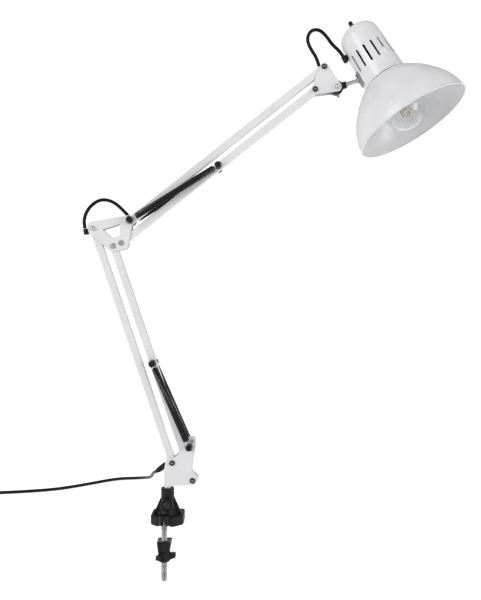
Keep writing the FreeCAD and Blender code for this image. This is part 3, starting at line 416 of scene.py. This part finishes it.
# --- leads at the elbow and the head -----------------------------------------------------------
def lead_pieces(name, route, node, splits, bodies):
    """Lead that crosses several joints, cut at these shares into one piece for each pair of neighbouring bodies;
    the pieces are not attached to the bodies.
    """
    points = spline_points(route, 10)
    total = len(points) - 1
    cuts = [0] + [round(total * s) for s in splits] + [total]
    for i, (body_a, body_b) in enumerate(zip(bodies, bodies[1:])):
        part = points[cuts[i]:cuts[i + 1] + 1]
        made = piece(f"{name}_{i + 1}", *sweep(part, LEAD_R, CORD_SIDES), "cord_black")
        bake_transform(made)
        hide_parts(node)


ELBOW_ROUTE = [
    mm(-114.15, 0, 405.9),
    mm(-115.9, 0, 414.0),
    mm(-113.4, 0, 426.5),
    mm(-105.0, 0, 438.7),
    mm(-91.5, 0, 446.3),
    mm(-76.5, 0, 443.5),
    mm(-63.0, 0, 433.0),
    mm(-53.0, 0, 421.4),
]
HEAD_GLAND = in_head(33.4, 0, 133.4)
HEAD_ROUTE = [
    mm(208.9, 0, 629.9),
    mm(205.5, 0, 641.5),
    mm(197.0, 0.5, 654.0),
    mm(192.0, 1.5, 667.5),
    mm(197.5, 3, 680.5),
    mm(209.5, 5, 682.5),
    mm(219.5, 7.5, 675.0),
    mm(228.5, 10.5, 663.5),
    HEAD_GLAND + HEAD_Z * 0.009,
    HEAD_GLAND,
]
lead_pieces("elbow_lead_loop", ELBOW_ROUTE, "elbow_lead", [0.5],
            ["lower_left_bar", "elbow", "upper_top_bar"])
lead_pieces("head_lead_loop", HEAD_ROUTE, "head_lead", [0.36, 0.68],
            ["upper_top_bar", "head_bracket", "yoke", "head"])


# --- springs -----------------------------------------------------------------------------------
SPRING_Y = 0.0122           # each spring's distance from the arm's middle plane
WIRE_R = 0.00055
COIL_R = 0.0045 - WIRE_R    # the wire's line
COIL_PITCH = 0.0013
COIL_STEPS = 14             # points in each turn of wire
COIL_SIDES = 8
RING_R = 0.0053             # end rings and hooks
RING_WIRE_R = WIRE_R * 1.05
RING_SIDES = 10
RING_STEPS = 30             # points in a full ring
RING_DRAWN = 28             # points of it that are drawn, so its end stays open
RING_GAP = 0.0008           # from an end ring to the coil
RING_TAIL = 0.0006          # of an end ring's wire inside the coil
SHANK_STEPS = 6


def ring_points(centre, out, up):
    """Open ring of wire; out points from its centre to the gap."""
    turns = [2 * math.pi * k / RING_STEPS for k in range(1, RING_DRAWN + 1)]
    return [centre + (out * math.cos(t) + up * math.sin(t)) * RING_R for t in turns]


def wind_springs(name, start, end, slack, reach, node, hook_node, body, hook_body):
    """Pair of close-wound coils with end rings, and the hooks that hold them on their pins.

    start is the hooks' pin and end the rings' pin, slack the gap from a hook's ring to its coil,
    and reach the length of a hook's shank.
    """
    along = (end - start).normalized()
    up = Vector((0, 1, 0)).cross(along)
    for tag, side in (("front", -1), ("back", 1)):
        shift = Vector((0, side * SPRING_Y, 0))
        first = start + shift + along * (RING_R + slack)
        last = end + shift - along * (RING_R + RING_GAP)
        span = (last - first).length
        turns = round(span / COIL_PITCH)
        points = []
        for k in range(turns * COIL_STEPS + 1):
            share = k / (turns * COIL_STEPS)
            from_start = k / COIL_STEPS
            from_end = turns - from_start
            # drawn in half way at the hook, whose shank slides in it, and to a point at the ring
            narrow = min(1.0, 0.55 + from_start * 0.5, 0.05 + from_end)
            turn = 2 * math.pi * k / COIL_STEPS
            out = up * math.cos(turn) + Vector((0, math.sin(turn), 0))
            points.append(first + along * span * share + out * COIL_R * narrow)
        made = piece(f"{name}_coil_{tag}", *sweep(points, WIRE_R, COIL_SIDES), "spring_black", body)
        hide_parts(node)
        ring = [last - along * RING_TAIL, last] + ring_points(end + shift, -along, up)
        made = piece(f"{name}_end_ring_{tag}", *sweep(ring, RING_WIRE_R, RING_SIDES), "zinc_steel", body)
        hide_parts(node)
        shank = [reach * step / SHANK_STEPS for step in range(1, SHANK_STEPS + 1)]
        hook = ring_points(start + shift, along, up)[::-1]
        hook += [start + shift + along * (RING_R + far) for far in shank]
        made = piece(f"{name}_hook_{tag}", *sweep(hook, RING_WIRE_R, RING_SIDES), "zinc_steel", hook_body)
        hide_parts(hook_node)


wind_springs("lower_spring", PINS["lower_hook_swing"], PINS["lower_spring_swing"], 0.003, 0.0175,
             "lower_springs", "lower_spring_hooks", "lower_spring_coils", "lower_spring_ends")
wind_springs("upper_spring", PINS["upper_hook_swing"], PINS["upper_spring_swing"], 0.004, 0.033,
             "upper_springs", "upper_spring_hooks", "upper_spring_coils", "upper_spring_ends")


# --- clamp screw --------------------------------------------------------------------------------
ROD_LOW = -0.0725
ROD_HIGH = 0.0125
ROD_CHAMFER = 0.0010
THREAD_PITCH = 0.00125
THREAD_ROOT_R = 0.00345
THREAD_CREST_R = 0.00398
THREAD_ROWS = 6             # rings of points in each pitch


def threaded_rod(sides=36):
    """Screw with a cut thread, chamfered at its free end."""
    rows = round((ROD_HIGH - ROD_LOW) / (THREAD_PITCH / THREAD_ROWS))
    verts = []
    faces = []
    for i in range(rows + 1):
        z = ROD_LOW + (ROD_HIGH - ROD_LOW) * i / rows
        limit = THREAD_CREST_R - max(0.0, ROD_CHAMFER - (z - ROD_LOW))
        for k in range(sides):
            phase = (z / THREAD_PITCH - k / sides) % 1.0
            # flat at the crest and the root, with a slope between them
            ridge = min(1.0, max(0.0, 1.35 - abs(phase - 0.5) * 3.4))
            radius = min(limit, THREAD_ROOT_R + (THREAD_CREST_R - THREAD_ROOT_R) * ridge)
            turn = 2 * math.pi * k / sides
            x = ROD_AXIS[0] + radius * math.cos(turn)
            y = ROD_AXIS[1] + radius * math.sin(turn)
            verts.append(Vector((x, y, z)))
    for i in range(rows):
        for k in range(sides):
            n = (k + 1) % sides
            faces.append((i * sides + k, i * sides + n, (i + 1) * sides + n, (i + 1) * sides + k))
    faces.append(tuple(range(sides - 1, -1, -1)))
    faces.append(tuple(rows * sides + k for k in range(sides)))
    return verts, faces


rod = piece("clamp_screw_thread", *threaded_rod(), "zinc_steel", "clamp")
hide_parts("clamp_rod")

# --- strain relief ribs -----------------------------------------------------------------------
RELIEF_START = mm(-3.6, 2.4, 79.0)
RELIEF_THICK_R = 0.0039     # radius where the taper starts
RELIEF_THIN_R = 0.00295     # and where it ends
TAPER_FROM = 0.15           # share of the relief's length where the taper starts
RIB_PROUD = 0.0005
RIB_DEPTH = 0.0012
RIB_HALF = 0.0006
RIB_FLAT_HALF = 0.0003
RIB_BEVEL = 0.0002
relief_way = CORD_ROUTE[0] - RELIEF_START
for rib in range(5):
    share = 0.34 + 0.14 * rib
    taper = (RELIEF_THICK_R - RELIEF_THIN_R) * (share - TAPER_FROM) / (1 - TAPER_FROM)
    outer = RELIEF_THICK_R - taper + RIB_PROUD
    profile = [
        (outer - RIB_DEPTH, -RIB_HALF),
        (outer - RIB_BEVEL, -RIB_HALF),
        (outer, -RIB_FLAT_HALF),
        (outer, RIB_FLAT_HALF),
        (outer - RIB_BEVEL, RIB_HALF),
        (outer - RIB_DEPTH, RIB_HALF),
    ]
    turned = lathe(profile, RELIEF_START + relief_way * share, relief_way, 28)
    piece(f"cord_relief_rib_{rib + 1}", *turned, "black_rubber", "base_bracket")

# --- bulb -------------------------------------------------------------------------------------
STEM_PROFILE = [
    (0.0004, 0.0400),
    (0.0016, 0.0402),
    (0.0021, 0.0415),
    (0.0024, 0.0520),
    (0.0040, 0.0600),
    (0.0082, 0.0690),
    (0.0100, 0.0735),
    (0.0004, 0.0735),
]
STRIP_R = 0.0009
SUPPORT_R = 0.0003
CENTRE_WIRE_R = 0.00045
glass_stem = piece("bulb_glass_stem", *lathe(STEM_PROFILE, RIM_CENTRE, HEAD_Z, 32), "clear_glass", "head")
strips = []
wires = []
for quarter in range(4):
    turn = math.radians(45 + 90 * quarter)
    c, s = math.cos(turn), math.sin(turn)
    low_end = in_head(7.5 * c, 7.5 * s, 16)
    high_end = in_head(4.6 * c, 4.6 * s, 46)
    strips.append(sweep([low_end.lerp(high_end, t / 8) for t in range(9)], STRIP_R, 10))
    hold = [high_end, in_head(4.0 * c, 4.0 * s, 48.5), in_head(2.2 * c, 2.2 * s, 51)]
    wires.append(sweep(hold, SUPPORT_R, 8))
    foot = [low_end, in_head(6.4 * c, 6.4 * s, 13.9), in_head(0.4 * c, 0.4 * s, 12.4)]
    wires.append(sweep(foot, SUPPORT_R, 8))
wires.append(sweep([in_head(0, 0, 12.2), in_head(0, 0, 26), in_head(0, 0, 40.5)], CENTRE_WIRE_R, 8))


def joined(parts):
    """Vertices and faces of several separate shapes as one mesh."""
    verts = []
    faces = []
    for part_verts, part_faces in parts:
        base = len(verts)
        verts += part_verts
        faces += [tuple(base + i for i in f) for f in part_faces]
    return verts, faces


light_strips = piece("bulb_light_strips", *joined(strips), "filament_amber", "head")
strip_wires = piece("bulb_support_wires", *joined(wires), "zinc_steel", "head")
for made in (glass_stem, light_strips, strip_wires):
    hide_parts("bulb_filaments")

# --- desk and background --------------------------------------------------------------------------
BOARD_LEFT = -2.6
BOARD_RIGHT = 2.8
BOARD_FRONT = -0.0115
BOARD_BACK = 4.2
BOARD_THICK = 0.0164
BOARD_GLOW = 0.75           # keeps the board as white as the background
board_mesh = bpy.data.meshes.new("desk_board")
corners = [
    (BOARD_LEFT, BOARD_FRONT),
    (BOARD_RIGHT, BOARD_FRONT),
    (BOARD_RIGHT, BOARD_BACK),
    (BOARD_LEFT, BOARD_BACK),
]
board_mesh.from_pydata(
    [(x, y, -BOARD_THICK) for x, y in corners] + [(x, y, 0) for x, y in corners],
    [],
    [(3, 2, 1, 0), (4, 5, 6, 7), (0, 1, 5, 4), (1, 2, 6, 5), (2, 3, 7, 6), (3, 0, 4, 7)],
)
board = bpy.data.objects.new("desk_board", board_mesh)
bpy.context.scene.collection.objects.link(board)
board.data.materials.append(surface("desk_white", (0.86, 0.86, 0.86), (0.9, 0.9, 0.9), (0.6, 0.7),
                                    grain=400, depth=0.00001, blotch=8, edge=0))
board_shader = board.data.materials[0].node_tree.nodes["Principled BSDF"]
board_shader.inputs["Emission Color"].default_value = (1, 1, 1, 1)
board_shader.inputs["Emission Strength"].default_value = BOARD_GLOW

# Light from all round, brighter from below; the camera itself sees plain white.
world = bpy.data.worlds.new("studio")
world.use_nodes = True
bpy.context.scene.world = world
tree = world.node_tree
sky = tree.nodes["Background"]
place = new_node(tree, "ShaderNodeTexCoord")
split = new_node(tree, "ShaderNodeSeparateXYZ")
tree.links.new(place.outputs["Generated"], split.inputs["Vector"])
height = map_range(tree, split.outputs["Z"], (-1, 1), (0, 1))
shade = colour_ramp(tree, height, (0.25, (0.9, 0.9, 0.9)), (0.8, (0.55, 0.55, 0.56)))
tree.links.new(shade, sky.inputs["Color"])
sky.inputs["Strength"].default_value = 0.75
seen = new_node(tree, "ShaderNodeBackground", Strength=1.1)
seen.inputs["Color"].default_value = (1, 1, 1, 1)
rays = new_node(tree, "ShaderNodeLightPath")
mix = new_node(tree, "ShaderNodeMixShader")
tree.links.new(rays.outputs["Is Camera Ray"], mix.inputs["Fac"])
tree.links.new(sky.outputs["Background"], mix.inputs[1])
tree.links.new(seen.outputs["Background"], mix.inputs[2])
tree.links.new(mix.outputs["Shader"], tree.nodes["World Output"].inputs["Surface"])


def softbox(name, place, target, size, power):
    """Rectangular area light turned to a target."""
    data = bpy.data.lights.new(name, "AREA")
    data.shape = "RECTANGLE"
    data.size, data.size_y = size
    data.energy = power
    made = bpy.data.objects.new(name, data)
    made.location = place
    made.rotation_euler = (Vector(target) - Vector(place)).to_track_quat("-Z", "Y").to_euler()
    bpy.context.scene.collection.objects.link(made)


softbox("left_front", (-2.3, -2.2, 0.9), (0.1, 0, 0.35), (1.6, 1.8), 40)
softbox("right_front", (2.3, -1.9, 0.5), (0.1, 0, 0.4), (1.2, 1.6), 20)
softbox("top", (-0.2, 0.3, 2.0), (0.1, 0, 0.3), (1.6, 1.2), 3)

bpy.context.scene.view_settings.view_transform = "Standard"
bpy.context.scene.view_settings.look = "None"
